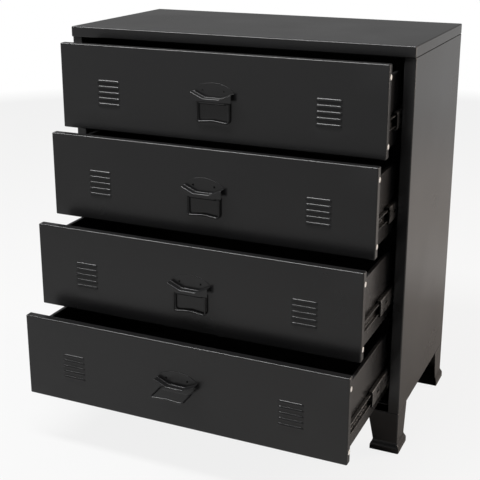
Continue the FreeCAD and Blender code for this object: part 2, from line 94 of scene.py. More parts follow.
def surface(grid, flip=False):
    """The points of a rows-by-columns grid, and the quads between neighbours.

    A quad faces along (step between columns) x (step between rows), or the other way if flipped.
    """
    rows, columns = grid.shape[:2]
    index = np.arange(rows * columns).reshape(rows, columns)
    quads = np.stack([index[:-1, :-1], index[:-1, 1:], index[1:, 1:], index[1:, :-1]], axis=-1)
    quads = quads.reshape(-1, 4)
    return grid.reshape(-1, 3), quads[:, ::-1] if flip else quads


def mirrored(made):
    """The same surface on the chest's other side, still facing outwards."""
    points, quads = made
    return points * (-1, 1, 1), quads[:, ::-1]


def plate(axis, level, low, high, flip=False):
    """A flat rectangle square to an axis, between two corners given along the two other axes."""
    ways = np.array([[[low[0], low[1]], [high[0], low[1]]], [[low[0], high[1]], [high[0], high[1]]]])
    grid = np.insert(ways, axis, level, axis=2)
    return surface(grid, flip)


def make_piece(name, surfaces, finish, body, nodes, wall=0.0, edge=0.0):
    """One piece of the chest from its surfaces: joined, given a wall behind them and softened edges,
    coated, set on its body, and standing for its construction nodes."""
    starts = np.cumsum([0] + [len(points) for points, quads in surfaces])
    points = np.vstack([points for points, quads in surfaces])
    quads = np.vstack([made[1] + start for made, start in zip(surfaces, starts)])
    mesh = bpy.data.meshes.new(name)
    mesh.from_pydata(points.tolist(), [], quads.tolist())
    shape = bmesh.new()
    shape.from_mesh(mesh)
    bmesh.ops.remove_doubles(shape, verts=shape.verts, dist=merge_distance)
    bmesh.ops.dissolve_degenerate(shape, edges=shape.edges, dist=merge_distance)
    shape.to_mesh(mesh)
    shape.free()
    mesh.shade_smooth()
    mesh.materials.append(finish)
    piece = bpy.data.objects.new(name, mesh)
    bpy.context.scene.collection.objects.link(piece)
    if wall:
        thickness = piece.modifiers.new("wall", "SOLIDIFY")
        thickness.thickness = wall
        thickness.offset = -1
        thickness.use_even_offset = True
    if edge:
        softened = piece.modifiers.new("softened edges", "BEVEL")
        softened.width = edge
        softened.segments = 2
        softened.limit_method = "ANGLE"
        softened.angle_limit = sharp_edge
    piece.modifiers.new("flat faces stay flat", "WEIGHTED_NORMAL")
    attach(piece, body)
    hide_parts(*nodes)
    return piece


def add_node(tree, kind, inputs, **settings):
    """Adds one shader node with its settings; an input is a value, or the socket that it comes from."""
    made = tree.nodes.new(kind)
    for key, value in settings.items():
        setattr(made, key, value)
    for key, value in inputs.items():
        if isinstance(value, bpy.types.NodeSocket):
            tree.links.new(value, made.inputs[key])
        else:
            made.inputs[key].default_value = value
    return made


def new_finish(name):
    """An empty node material: returns it, its tree, its shader and the place on the object."""
    finish = bpy.data.materials.new(name)
    finish.use_nodes = True
    tree = finish.node_tree
    place = add_node(tree, "ShaderNodeTexCoord", {}).outputs["Object"]
    return finish, tree, tree.nodes["Principled BSDF"], place


def powder_coat():
    """Satin black powder: a faint orange peel under a fine grain, cloudy gloss, and thin bright bends."""
    finish, tree, shader, place = new_finish("satin black powder coat")
    cloud = add_node(tree, "ShaderNodeTexNoise", {"Vector": place, "Scale": 5.0, "Detail": 4.0})
    speck = add_node(tree, "ShaderNodeTexNoise", {"Vector": place, "Scale": 1400.0, "Detail": 1.0})
    peel = add_node(tree, "ShaderNodeTexNoise", {"Vector": place, "Scale": 380.0, "Detail": 2.0})
    tone = add_node(tree, "ShaderNodeMix", {
        0: cloud.outputs["Fac"], 6: (0.0066, 0.0066, 0.0070, 1), 7: (0.0094, 0.0093, 0.0095, 1),
    }, data_type="RGBA")
    flecked = add_node(tree, "ShaderNodeMapRange", {
        "Value": speck.outputs["Fac"], "From Min": 0.62, "From Max": 0.8, "To Min": 0.0, "To Max": 0.5,
    })
    flecks = add_node(tree, "ShaderNodeMix", {
        0: flecked.outputs["Result"], 6: tone.outputs[2], 7: (0.020, 0.020, 0.021, 1),
    }, data_type="RGBA")
    ridge = add_node(tree, "ShaderNodeNewGeometry", {})
    worn = add_node(tree, "ShaderNodeMapRange", {
        "Value": ridge.outputs["Pointiness"], "From Min": 0.52, "From Max": 0.62,
        "To Min": 0.0, "To Max": 0.35,
    })
    colour = add_node(tree, "ShaderNodeMix", {
        0: worn.outputs["Result"], 6: flecks.outputs[2], 7: (0.030, 0.030, 0.031, 1),
    }, data_type="RGBA")
    gloss = add_node(tree, "ShaderNodeMapRange", {
        "Value": cloud.outputs["Fac"], "From Min": 0.3, "From Max": 0.7, "To Min": 0.22, "To Max": 0.28,
    })
    waves = add_node(tree, "ShaderNodeBump", {
        "Height": peel.outputs["Fac"], "Strength": 0.8, "Distance": 0.00003,
    })
    grain = add_node(tree, "ShaderNodeBump", {
        "Height": speck.outputs["Fac"], "Strength": 0.6, "Distance": 0.00001,
        "Normal": waves.outputs["Normal"],
    })
    tree.links.new(colour.outputs[2], shader.inputs["Base Color"])
    tree.links.new(gloss.outputs["Result"], shader.inputs["Roughness"])
    tree.links.new(grain.outputs["Normal"], shader.inputs["Normal"])
    shader.inputs["Specular IOR Level"].default_value = 0.45
    return finish


black_coat = powder_coat()
low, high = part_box("side_panel_right")
side_plan = rounded_line([
    (low.x, low.y + side_return), (low.x, low.y), (high.x, low.y),
    (high.x, high.y), (low.x, high.y), (low.x, high.y - side_return),
], [side_bend] * 4)
end_low = (low.x + end_tuck, low.y + end_tuck)
end_high = (high.x - end_tuck, high.y - end_tuck)
tuck_turn = np.linspace(0, math.pi / 2, 5)
tuck_in = end_tuck * (1 - np.sin(tuck_turn))
tuck_up = end_tuck * (1 - np.cos(tuck_turn))
levels = np.concatenate([low.z + tuck_up, high.z - tuck_up[::-1]])
inset = np.concatenate([tuck_in, tuck_in[::-1]])
ways = np.gradient(side_plan, axis=0)
outward = np.stack([ways[:, 1], -ways[:, 0]], 1) / np.linalg.norm(ways, axis=1, keepdims=True)
side_wall = carried(side_plan, 2, levels)
side_wall[:, :, :2] -= inset[:, None, None] * outward
side_surfaces = [
    surface(side_wall), plate(2, low.z, end_low, end_high, flip=True), plate(2, high.z, end_low, end_high),
]
make_piece(
    "folded_side_right", side_surfaces, black_coat, "carcass",
    ["side_panel_right"], wall=sheet
)
make_piece(
    "folded_side_left", [mirrored(made) for made in side_surfaces], black_coat,
    "carcass", ["side_panel_left"], wall=sheet
)

# ---- Front rail ----------------------------------------------------------------------------------
# A strip of the same sheet under the lowest drawer, folded back at its top into a short ledge.
rail_bend = 0.0012
low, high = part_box("front_rail")
rail_section = rounded_line([(low.y, low.z), (low.y, high.z), (high.y, high.z)], [rail_bend])
make_piece(
    "folded_front_rail", [surface(carried(rail_section, 0, [low.x, high.x]), flip=True)], black_coat,
    "carcass", ["front_rail"], wall=sheet
)

# ---- Bottom panel --------------------------------------------------------------------------------
# The floor of the carcass: one sheet with its front and back edges turned up, seen from below and
# behind the drawers.
floor_bend = 0.0015
low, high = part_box("bottom_panel")
floor_section = rounded_line([
    (high.y, high.z), (high.y, low.z), (low.y, low.z), (low.y, high.z),
], [floor_bend] * 2)
make_piece(
    "folded_floor", [surface(carried(floor_section, 0, [low.x, high.x]))], black_coat,
    "carcass", ["bottom_panel"], wall=sheet
)


# ---- Back panel ----------------------------------------------------------------------------------
# A flat sheet between the rear stiles, its four edges folded forward and screwed to the stiles.
def bend_turns(radius, steps=5):
    """How far out and how far back a quarter bend has gone, at even angles round it."""
    angle = np.linspace(0, math.pi / 2, steps + 1)
    return radius * np.sin(angle), radius * (1 - np.cos(angle))


def tray_wall(columns, rows, out, back):
    """The wall of a folded tray, round a face whose grid lines are given.

    The path runs along the face's border and fans round each corner.  Point (i, j) is border point
    j, moved out by out[i] along the outward direction there, and back by back[i].
    """
    steps = 5
    flat = np.zeros(len(columns) - 1)
    upright = np.zeros(len(rows) - 1)
    border = np.concatenate([
        np.stack([columns[:-1], flat + rows[0]], 1), np.repeat([[columns[-1], rows[0]]], steps, 0),
        np.stack([upright + columns[-1], rows[:-1]], 1), np.repeat([[columns[-1], rows[-1]]], steps, 0),
        np.stack([columns[:0:-1], flat + rows[-1]], 1), np.repeat([[columns[0], rows[-1]]], steps, 0),
        np.stack([upright + columns[0], rows[:0:-1]], 1), np.repeat([[columns[0], rows[0]]], steps, 0),
        [[columns[0], rows[0]]],
    ])
    fan = np.linspace(0, math.pi / 2, steps + 1)[:-1]
    heading = np.concatenate([
        flat, fan, upright + math.pi / 2, fan + math.pi / 2, flat + math.pi, fan + math.pi,
        upright + 1.5 * math.pi, fan + 1.5 * math.pi, [2 * math.pi],
    ])
    outward = np.stack([np.sin(heading), -np.cos(heading)], 1)
    wall = np.empty((len(out), len(border), 3))
    wall[:, :, :2] = border + np.asarray(out)[:, None, None] * outward
    wall[:, :, 2] = np.asarray(back)[:, None]
    return wall


back_fold = 0.012
low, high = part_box("back_panel")
across = np.linspace(low.x + side_bend, high.x - side_bend, 9)
up = np.linspace(low.z + side_bend, high.z - side_bend, 9)
grid_x, grid_z = np.meshgrid(across, up)
back_face = np.stack([-grid_x, np.full_like(grid_x, high.y), grid_z], 2)
# The fold's cut edge is eased inwards by the first step of the bend.
out, back = bend_turns(side_bend)
wall = tray_wall(
    across, up, [*out, side_bend, side_bend - back[1]], [*back, back_fold, high.y - low.y]
)
back_wall = np.stack([-wall[:, :, 0], high.y - wall[:, :, 2], wall[:, :, 1]], 2)
make_piece(
    "folded_back", [surface(back_face), surface(back_wall, flip=True)], black_coat,
    "carcass", ["back_panel"], wall=sheet
)

# ---- Top panel -----------------------------------------------------------------------------------
# A shallow inverted tray in the same sheet.  Its skirt stands 5 mm proud of the stiles and is turned
# in underneath, where screws from the side panels hold it.
top_lip = 0.015


def tray_rim(columns, rows, depth, bend, lip_across, lip_up):
    """A tray's wall and lip: out and back round a bend, straight back, in round a second bend, and
    over the lip, whose inner edge is the border clipped to a smaller rectangle."""
    out, back = bend_turns(bend)
    wall = tray_wall(
        columns, rows, np.concatenate([out, bend - back]), np.concatenate([back, depth - bend + out])
    )
    lip_low = (columns[0] - bend + lip_across, rows[0] - bend + lip_up, depth)
    lip_high = (columns[-1] + bend - lip_across, rows[-1] + bend - lip_up, depth)
    return np.concatenate([wall, np.clip(wall[-1:], lip_low, lip_high)])


low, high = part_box("top_panel")
across = np.linspace(low.x + side_bend, high.x - side_bend, 17)
along = np.linspace(low.y + side_bend, high.y - side_bend, 9)
grid_x, grid_y = np.meshgrid(across, along)
top_face = np.stack([grid_x, grid_y, np.full_like(grid_x, high.z)], 2)
rim = tray_rim(across, along, high.z - low.z, side_bend, top_lip, top_lip)
top_rim = np.stack([rim[:, :, 0], rim[:, :, 1], high.z - rim[:, :, 2]], 2)
make_piece(
    "folded_top", [surface(top_face), surface(top_rim, flip=True)], black_coat,
    "carcass", ["top_panel"], wall=sheet
)

# ---- Feet ----------------------------------------------------------------------------------------
# Four corner feet pressed from 1.5 mm sheet: two walls that taper to an ankle and swell into a low
# shoe with a flat sole.  A flange across the top takes the screws into the side panel.
foot_sheet = 0.0015
foot_top_reach = 0.068
foot_ankle_reach = 0.054
foot_ankle_level = 0.024
foot_rim_level = 0.009
foot_flare = 0.005
foot_corner = 0.003
foot_turn_steps = 7
foot_fold = 0.0015
foot_fold_steps = 5
foot_edge = 0.0004


def foot_surfaces(high_z, corner_x, corner_y):
    """The front right foot.  At each level the plan is an L with a rounded corner, whose two arms
    shrink evenly from the top to the ankle.  Below it the whole plan moves out by the flare, along
    half a cosine wave, and then stands straight.  At the top it is tucked in by a quarter bend."""
    folding = foot_fold * np.sin(np.linspace(0, math.pi / 2, foot_fold_steps))
    levels = np.concatenate([
        [0, foot_rim_level * 0.5], np.linspace(foot_rim_level, foot_ankle_level, 9),
        np.linspace(foot_ankle_level, high_z - foot_fold, 6)[1:-1], high_z - foot_fold + folding,
    ])
    swell = np.clip((foot_ankle_level - levels) / (foot_ankle_level - foot_rim_level), 0, 1)
    swell = foot_flare * (1 - np.cos(math.pi * swell)) / 2
    taper = np.clip((levels - foot_ankle_level) / (high_z - foot_ankle_level), 0, 1)
    reach = foot_ankle_reach + (foot_top_reach - foot_ankle_reach) * taper + swell
    tucked = foot_fold * (1 - np.cos(np.linspace(0, math.pi / 2, foot_fold_steps)))
    swell[-foot_fold_steps:] -= tucked
    bend = rounded_line([(0, 1), (0, 0), (-1, 0)], [foot_corner], foot_turn_steps)[1:-1]
    walls = np.empty((len(levels), len(bend) + 2, 3))
    walls[:, 1:-1, 0] = corner_x + swell[:, None] + bend[:, 0]
    walls[:, 1:-1, 1] = corner_y - swell[:, None] + bend[:, 1]
    walls[:, 0, 0] = corner_x + swell
    walls[:, 0, 1] = corner_y + reach
    walls[:, -1, 0] = corner_x - reach
    walls[:, -1, 1] = corner_y - swell
    walls[:, :, 2] = levels[:, None]
    sole_low = (corner_x - reach[0], corner_y - swell[0] + foot_sheet)
    sole_high = (corner_x + swell[0] - foot_sheet, corner_y + reach[0])
    flange_low = (corner_x - reach[-1], corner_y + foot_sheet)
    flange_high = (corner_x - foot_sheet, corner_y + reach[-1])
    return [
        surface(walls, flip=True), plate(2, 0, sole_low, sole_high, flip=True),
        plate(2, high_z, flange_low, flange_high),
    ]


low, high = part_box("foot_front_right")
front_foot = foot_surfaces(high.z, high.x - foot_flare, low.y + foot_flare)
rear_foot = [(points * (1, -1, 1), quads[:, ::-1]) for points, quads in front_foot]
for end, right_foot in (("front", front_foot), ("rear", rear_foot)):
    left_foot = [mirrored(made) for made in right_foot]
    for side, foot in (("right", right_foot), ("left", left_foot)):
        make_piece(
            f"pressed_foot_{end}_{side}", foot, black_coat, "carcass",
            [f"foot_{end}_{side}"], wall=foot_sheet, edge=foot_edge
        )

# ---- Carcass screws ------------------------------------------------------------------------------
# Low round heads in blackened steel, which hold the top, the feet, the slides and the back.
def black_oxide():
    """Blackened screw steel: a dark metal with cloudy gloss and fine turning marks."""
    finish, tree, shader, place = new_finish("black oxide steel")
    cloud = add_node(tree, "ShaderNodeTexNoise", {"Vector": place, "Scale": 260.0, "Detail": 3.0})
    tone = add_node(tree, "ShaderNodeMix", {
        0: cloud.outputs["Fac"], 6: (0.020, 0.020, 0.022, 1), 7: (0.060, 0.058, 0.056, 1),
    }, data_type="RGBA")
    gloss = add_node(tree, "ShaderNodeMapRange", {
        "Value": cloud.outputs["Fac"], "From Min": 0.3, "From Max": 0.7, "To Min": 0.28, "To Max": 0.46,
    })
    marks = add_node(tree, "ShaderNodeBump", {
        "Height": cloud.outputs["Fac"], "Strength": 0.5, "Distance": 0.00004,
    })
    tree.links.new(tone.outputs[2], shader.inputs["Base Color"])
    tree.links.new(gloss.outputs["Result"], shader.inputs["Roughness"])
    tree.links.new(marks.outputs["Normal"], shader.inputs["Normal"])
    shader.inputs["Metallic"].default_value = 0.85
    return finish


def coat(node, finish):
    """Gives a construction node its finish, and leaves its shape alone."""
    for place in frame["nodes"][node].material_slots:
        place.material = finish


screw_steel = black_oxide()
coat("carcass_screws", screw_steel)

# ---- Slides --------------------------------------------------------------------------------------
# Each drawer runs on two telescopic slides: an outer member screwed to the stiles' returns, a middle
# member, and an inner member riveted to the drawer.  They are rolled from black coated strip, with
# lips that hold the balls.
drawers = [1, 2, 3, 4]
slide_thickness = 0.0127
outer_reach = 0.0095
middle_reach = 0.010
rail_strip = 0.0012
rail_roll = 0.0028
rail_lip = 0.0024
stop_depth = 0.0016
slot_count = 6
slot_margin = 0.04
slot_half = 0.009
slot_rise = 0.0028


def slide_black():
    """Thin black dip coat on rolled strip: fine lines along the roll, and a film of grease."""
    finish, tree, shader, place = new_finish("black coated slide steel")
    drawn = add_node(tree, "ShaderNodeMapping", {"Vector": place, "Scale": (900.0, 9.0, 900.0)})
    lines = add_node(tree, "ShaderNodeTexNoise", {"Vector": drawn.outputs[0], "Scale": 1.0, "Detail": 2.0})
    grease = add_node(tree, "ShaderNodeTexNoise", {"Vector": place, "Scale": 38.0, "Detail": 3.0})
    tone = add_node(tree, "ShaderNodeMix", {
        0: lines.outputs["Fac"], 6: (0.007, 0.007, 0.007, 1), 7: (0.022, 0.021, 0.020, 1),
    }, data_type="RGBA")
    gloss = add_node(tree, "ShaderNodeMapRange", {
        "Value": grease.outputs["Fac"], "From Min": 0.35, "From Max": 0.65, "To Min": 0.2, "To Max": 0.38,
    })
    drawing = add_node(tree, "ShaderNodeBump", {
        "Height": lines.outputs["Fac"], "Strength": 0.4, "Distance": 0.00002,
    })
    tree.links.new(tone.outputs[2], shader.inputs["Base Color"])
    tree.links.new(gloss.outputs["Result"], shader.inputs["Roughness"])
    tree.links.new(drawing.outputs["Normal"], shader.inputs["Normal"])
    shader.inputs["Coat Weight"].default_value = 0.3
    return finish


def member(near_x, far_x, low, high):
    """A right-hand slide member: a C in section, open towards far_x, carried along its length.

    The web is made in two halves that meet along its middle.  Over each slot their edges part by
    slot height * sqrt(1 - e^2), where e goes from 0 to 1 over the slot's round ends.  At the front
    end a low tab is bent across the channel as a stop.
    """
    inner = math.copysign(1, far_x - near_x)
    middle_z = (low.z + high.z) / 2
    slot_ys = np.linspace(low.y + slot_margin, high.y - slot_margin, slot_count)
    turn = np.sin(np.linspace(0, math.pi / 2, 7))
    half_slot = np.concatenate([[0], slot_half - slot_rise + slot_rise * turn])
    from_slot = np.concatenate([-half_slot[::-1], half_slot[1:]])
    ys = np.unique(np.concatenate([[low.y, high.y], (slot_ys[:, None] + from_slot).ravel()]))
    off_centre = np.abs(ys[:, None] - slot_ys).min(axis=1)
    end_share = np.clip((off_centre - slot_half + slot_rise) / slot_rise, 0, 1)
    part = slot_rise * np.sqrt(1 - end_share ** 2)
    halves = []
    for side, edge_z in ((1, high.z), (-1, low.z)):
        section = rounded_line([
            (far_x, edge_z - side * rail_lip), (far_x, edge_z), (near_x, edge_z), (near_x, middle_z),
        ], [rail_strip, rail_roll], 4)
        grid = carried(section, 1, ys)
        grid[:, -1, 2] += side * part
        halves.append(surface(grid, flip=inner * side > 0))
    tab_x = sorted((near_x, near_x + inner * stop_depth))
    tab_z = (low.z + 2 * rail_roll, high.z - 2 * rail_roll)
    return halves + [plate(1, low.y, (tab_x[0], tab_z[0]), (tab_x[1], tab_z[1]))]


rail_black = slide_black()
for n in drawers:
    outer_low, outer_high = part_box(f"outer_rails_{n}")
    middle_low, middle_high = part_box(f"middle_rails_{n}")
    inner_low, inner_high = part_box(f"inner_rails_{n}")
    stile_x = outer_high.x
    slide_parts = (
        ("outer", outer_low, outer_high, stile_x, stile_x - outer_reach, "carcass"),
        ("middle", middle_low, middle_high, middle_high.x, stile_x - middle_reach, f"middle_slides_{n}"),
        ("inner", inner_low, inner_high, stile_x - slide_thickness, inner_high.x, f"drawer_{n}"),
    )
    for kind, low, high, near_x, far_x, body in slide_parts:
        half = member(near_x, far_x, low, high)
        make_piece(
            f"rolled_{kind}_members_{n}", half + [mirrored(made) for made in half], rail_black,
            body, [f"{kind}_rails_{n}"], wall=rail_strip
        )


# ---- Ball cages ----------------------------------------------------------------------------------
# Plated strips that ride with the middle members and space the hardened balls which carry the load.
def ball_steel():
    """Plated strip and balls: pale grey metal, clouded by handling and greased here and there."""
    finish, tree, shader, place = new_finish("plated ball cage steel")
    cloud = add_node(tree, "ShaderNodeTexNoise", {"Vector": place, "Scale": 130.0, "Detail": 4.0})
    tone = add_node(tree, "ShaderNodeMix", {
        0: cloud.outputs["Fac"], 6: (0.26, 0.27, 0.28, 1), 7: (0.46, 0.46, 0.45, 1),
    }, data_type="RGBA")
    gloss = add_node(tree, "ShaderNodeMapRange", {
        "Value": cloud.outputs["Fac"], "From Min": 0.3, "From Max": 0.7, "To Min": 0.22, "To Max": 0.42,
    })
    tree.links.new(tone.outputs[2], shader.inputs["Base Color"])
    tree.links.new(gloss.outputs["Result"], shader.inputs["Roughness"])
    shader.inputs["Metallic"].default_value = 1.0
    return finish


ball_radius = 0.0016
ball_pitch = 0.011
ball_count = 8
outer_ball_inset = 0.00175
inner_ball_inset = 0.00325
cage_strip = 0.0006
cage_half = 0.9 * ball_radius
cage_overrun = 0.7 * ball_pitch


def balls(x, ys, z):
    """A row of balls.  Each is a grid of longitude by latitude, closed at both poles:
    (cos latitude * cos longitude, cos latitude * sin longitude, sin latitude) * radius."""
    latitude, longitude = np.meshgrid(
        np.linspace(-math.pi / 2, math.pi / 2, 6), np.linspace(0, 2 * math.pi, 9)
    )
    ball = np.stack([
        np.cos(latitude) * np.cos(longitude), np.cos(latitude) * np.sin(longitude), np.sin(latitude),
    ], 2) * ball_radius
    return [surface(ball + (x, y, z), flip=True) for y in ys]


def bar(x, y, z):
    """A closed bar with square corners: its four long faces, and its two ends."""
    section = np.array([(x[0], z[0]), (x[0], z[1]), (x[1], z[1]), (x[1], z[0]), (x[0], z[0])])
    return [
        surface(carried(section, 1, y)), plate(1, y[0], (x[0], z[0]), (x[1], z[1])),
        plate(1, y[1], (x[0], z[0]), (x[1], z[1]), flip=True),
    ]


cage_steel = ball_steel()
for n in drawers:
    cage_low, cage_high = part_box(f"ball_cages_{n}")
    middle_low, middle_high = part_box(f"middle_rails_{n}")
    inner_low, inner_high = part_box(f"inner_rails_{n}")
    centre_z = (cage_low.z + cage_high.z) / 2
    outer_z = (cage_high.z - centre_z + middle_high.z - centre_z) / 2
    inner_z = (inner_high.z - centre_z + middle_high.z - rail_strip - centre_z) / 2
    outer_ys = cage_high.y - np.arange(1, ball_count + 1) * ball_pitch
    inner_ys = cage_low.y + np.arange(1, ball_count + 1) * ball_pitch
    outer_x = cage_high.x - outer_ball_inset
    inner_x = cage_high.x - inner_ball_inset
    half = []
    for side in (-1, 1):
        half += balls(outer_x, outer_ys, centre_z + side * outer_z)
        half += balls(inner_x, inner_ys, centre_z + side * inner_z)
        for x, ys, z in ((outer_x, outer_ys, outer_z), (inner_x, inner_ys, inner_z)):
            reach = (ys.min() - cage_overrun, ys.max() + cage_overrun)
            strip_x = (x - cage_half, x + cage_half)
            strip_z = (centre_z + side * z - cage_strip / 2, centre_z + side * z + cage_strip / 2)
            half += bar(strip_x, reach, strip_z)
    make_piece(
        f"ball_cages_with_balls_{n}", half + [mirrored(made) for made in half], cage_steel,
        f"middle_slides_{n}", [f"ball_cages_{n}"]
    )

# ---- Drawer boxes --------------------------------------------------------------------------------
# Two folded sides with a hem along the top, a floor flange and a front flange; a hemmed back; and a
# flat floor laid on the flanges.
box_hem = 0.008
hem_return = 0.004
box_flange = 0.014
box_bend = 0.0012
for n in drawers:
    low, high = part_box(f"box_sides_{n}")
    section = rounded_line([
        (high.x - box_flange, low.z), (high.x, low.z), (high.x, high.z), (high.x - box_hem, high.z),
        (high.x - box_hem, high.z - hem_return),
    ], [box_bend] * 3)
    half = [
        surface(carried(section, 1, [low.y, high.y]), flip=True),
        plate(1, low.y, (high.x - box_flange, low.z + sheet), (high.x - sheet, high.z - sheet)),
    ]
    make_piece(
        f"folded_box_sides_{n}", half + [mirrored(made) for made in half], black_coat,
        f"drawer_{n}", [f"box_sides_{n}"], wall=sheet
    )
    low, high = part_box(f"box_back_{n}")
    section = rounded_line([
        (high.y, low.z), (high.y, high.z), (low.y, high.z), (low.y, high.z - hem_return),
    ], [box_bend] * 2)
    make_piece(
        f"folded_box_back_{n}", [surface(carried(section, 0, [low.x, high.x]))], black_coat,
        f"drawer_{n}", [f"box_back_{n}"], wall=sheet
    )
    coat(f"box_bottom_{n}", black_coat)
    coat(f"drawer_fixings_{n}", screw_steel)

# ---- Drawer fronts -------------------------------------------------------------------------------
# A pan folded from one sheet, with two groups of five louvres pressed out of its face.  Each louvre
# is a quarter-round hood with rounded ends, sheared along its foot so that it opens downwards.
pan_depth = 0.018
pan_bend = 0.0025
pan_side_lip = 0.020
pan_edge_lip = 0.012
louvre_centre = 0.247
louvre_half = 0.027
louvre_pitch = 0.0124
louvre_first_drop = 0.073
louvre_height = 0.005
louvre_reach = 0.0026
louvre_end = 0.006
louvre_count = 5


def pressed_face(width_half, low_z, high_z, louvre_tops):
    """The face of a front as a grid of across, up and out.

    Out is 0 except on a louvre, where it is reach * sqrt(1 - a^2 - b^2): a falls from 1 at the top to
    0 at the foot, and b rises from 0 to 1 over each rounded end.  The row at the foot is there twice,
    once on the hood and once on the flat, so that the quads between them can be left out.
    """
    quarter = np.linspace(0, math.pi / 2, 8)
    end_steps = louvre_half - louvre_end * (1 - np.cos(quarter))
    group = np.concatenate([-end_steps, np.linspace(-end_steps[-1], end_steps[-1], 9)[1:-1], end_steps])
    plain = np.array([-width_half, -0.5 * width_half, -0.1, 0, 0.1, 0.5 * width_half, width_half])
    across = np.unique(np.round(np.concatenate([plain, group - louvre_centre, group + louvre_centre]), 7))
    hood_rows = np.concatenate([top - louvre_height * (1 - np.cos(quarter)) for top in louvre_tops])
    feet = louvre_tops - louvre_height
    up = np.concatenate([[low_z, 0.5 * (low_z + feet.min())], hood_rows, feet, [high_z]])
    on_hood = np.concatenate([[0, 0], np.ones(len(hood_rows)), np.zeros(len(feet)), [0]])
    order = np.lexsort([on_hood, np.round(up, 7)])
    up = up[order]
    on_hood = on_hood[order]
    below_top = louvre_tops[None, :] - up[:, None]
    owner = np.argmin(np.where(below_top > -merge_distance, below_top, 1.0), axis=1)
    fall = 1 - np.clip((louvre_tops[owner] - up) / louvre_height, 0, 1)
    pressed = on_hood * ((louvre_tops[owner] - up) <= louvre_height + merge_distance)
    from_end = louvre_half - np.abs(np.abs(across) - louvre_centre)
    rise = 1 - np.clip(from_end / louvre_end, 0, 1)
    room = 1 - fall[:, None] ** 2 - rise[None, :] ** 2
    out = louvre_reach * np.sqrt(np.clip(room, 0, 1)) * pressed[:, None]
    grid_x, grid_z = np.meshgrid(across, up)
    points, quads = surface(np.stack([grid_x, grid_z, out], 2))
    row = quads[:, 0] // len(across)
    mouth = np.abs(up[row + 1] - up[row]) < merge_distance
    return points, quads[~mouth], across, up


for n in drawers:
    low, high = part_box(f"drawer_front_{n}")
    face_y = high.y - pan_depth
    tops = high.z - louvre_first_drop - louvre_pitch * np.arange(louvre_count)[::-1]
    points, quads, across, up = pressed_face(
        high.x - pan_bend, low.z + pan_bend, high.z - pan_bend, tops
    )
    face = np.stack([points[:, 0], face_y - points[:, 2], points[:, 1]], 1)
    rim = tray_rim(across, np.unique(np.round(up, 7)), pan_depth, pan_bend, pan_side_lip, pan_edge_lip)
    pan_rim = np.stack([rim[:, :, 0], face_y + rim[:, :, 2], rim[:, :, 1]], 2)
    make_piece(
        f"folded_drawer_front_{n}", [(face, quads), surface(pan_rim, flip=True)], black_coat,
        f"drawer_{n}", [f"drawer_front_{n}"], wall=sheet
    )

# ---- Edge caps -----------------------------------------------------------------------------------
# Low round caps moulded in a pale plastic and snapped into the sides of each front as buffers.
cap_radius = 0.0055
cap_height = 0.0012
cap_inset = 0.025
cap_crown = 0.0001
crown_share = 0.4


def pale_plastic():
    """Moulded off-white plastic: soft gloss, a fine moulded texture and a trace of dust."""
    finish, tree, shader, place = new_finish("pale moulded plastic")
    dust = add_node(tree, "ShaderNodeTexNoise", {"Vector": place, "Scale": 420.0, "Detail": 3.0})
    tone = add_node(tree, "ShaderNodeMix", {
        0: dust.outputs["Fac"], 6: (0.70, 0.70, 0.68, 1), 7: (0.82, 0.82, 0.80, 1),
    }, data_type="RGBA")
    gloss = add_node(tree, "ShaderNodeMapRange", {
        "Value": dust.outputs["Fac"], "From Min": 0.3, "From Max": 0.7, "To Min": 0.3, "To Max": 0.45,
    })
    moulded = add_node(tree, "ShaderNodeBump", {
        "Height": dust.outputs["Fac"], "Strength": 0.3, "Distance": 0.00002,
    })
    tree.links.new(tone.outputs[2], shader.inputs["Base Color"])
    tree.links.new(gloss.outputs["Result"], shader.inputs["Roughness"])
    tree.links.new(moulded.outputs["Normal"], shader.inputs["Normal"])
    shader.inputs["Subsurface Weight"].default_value = 0.1
    shader.inputs["Subsurface Radius"].default_value = (0.001, 0.001, 0.001)
    return finish


def cap_surface(x, y, z):
    """A turned dome: the profile of radius and height goes out under the cap, up its wall, round the
    rim, and over a shallow crown to the middle; each of its points is swung round the axis."""
    turn = np.linspace(0, math.pi / 2, 6)
    rim = cap_height * 0.5
    radius = np.concatenate([
        [0, cap_radius], cap_radius - rim + rim * np.cos(turn), [cap_radius * crown_share, 0],
    ])
    wall_top = cap_height - rim - cap_crown
    rise = np.concatenate([[0, 0], wall_top + rim * np.sin(turn), [cap_height - cap_crown / 4, cap_height]])
    swing = np.linspace(0, 2 * math.pi, 33)
    grid = np.stack([
        np.broadcast_to(x + rise[:, None], (len(rise), len(swing))),
        y + radius[:, None] * np.cos(swing), z + radius[:, None] * np.sin(swing),
    ], 2)
    return surface(grid)


cap_plastic = pale_plastic()
for n in drawers:
    low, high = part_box(f"edge_caps_{n}")
    front_low, front_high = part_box(f"drawer_front_{n}")
    middle_y = (low.y + high.y) / 2
    heights = (front_high.z - cap_inset, front_low.z + cap_inset)
    half = [cap_surface(front_high.x, middle_y, z) for z in heights]
    make_piece(
        f"moulded_caps_{n}", half + [mirrored(made) for made in half], cap_plastic,
        f"drawer_{n}", [f"edge_caps_{n}"]
    )

# ---- Handle plates -------------------------------------------------------------------------------
# A pressed pull: an arched plate against the front, a ledge folded out along its three-sided lower
# edge, a skirt folded down from that, and a tongue behind it rolled round the bail's wire.
handle_half = 0.045
handle_end_rise = 0.004
handle_arch_rise = 0.019
ledge_half = 0.018
ledge_drop = 0.012
ledge_reach = 0.015
skirt_drop = 0.018
inner_fold = 0.0010
outer_fold = 0.0018
fold_corner = 0.0006
knuckle_half = 0.029
knuckle_forward = 0.0055
knuckle_drop = 0.0205
knuckle_radius = 0.00325
tongue_bend = 0.0015
pull_edge = 0.00025


